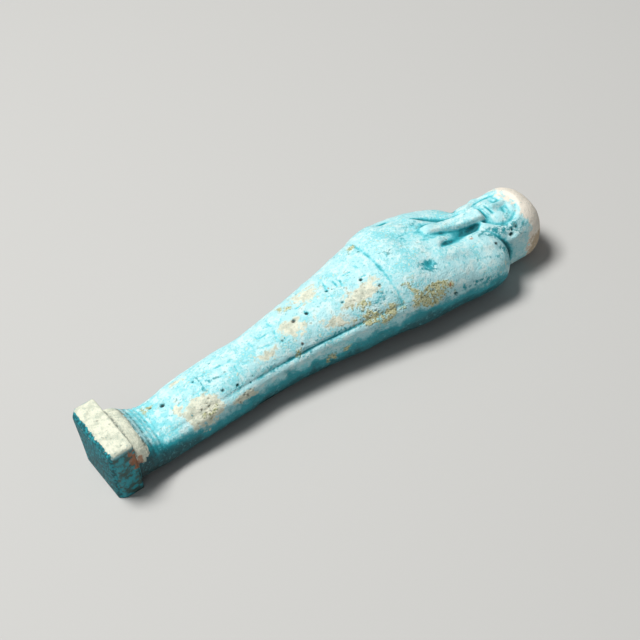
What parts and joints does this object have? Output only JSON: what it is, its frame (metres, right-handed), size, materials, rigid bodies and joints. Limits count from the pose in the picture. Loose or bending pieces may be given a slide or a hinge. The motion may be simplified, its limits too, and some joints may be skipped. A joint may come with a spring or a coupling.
{
  "type": "ushabti figurine",
  "caption": "Mummiform faience ushabti with tripartite wig, beard, crossed arms, a framed text panel, a low block under the feet and a flat dorsal pillar.",
  "frame": {"origin": "middle of the outer box, in the plane that the figure's flat back rests on", "axes": "+X from the underside of the base to the crown of the head, +Z out of the chest, the figure's own left towards -Y"},
  "size_m": [0.12, 0.03, 0.0207],
  "materials": {
    "faience": "weathered pale turquoise glaze, satin to matt, pooled darker in the hollows"
  },
  "bodies": {
    "root": {"ushabti_figurine": "faience"}
  },
  "joints": []
}
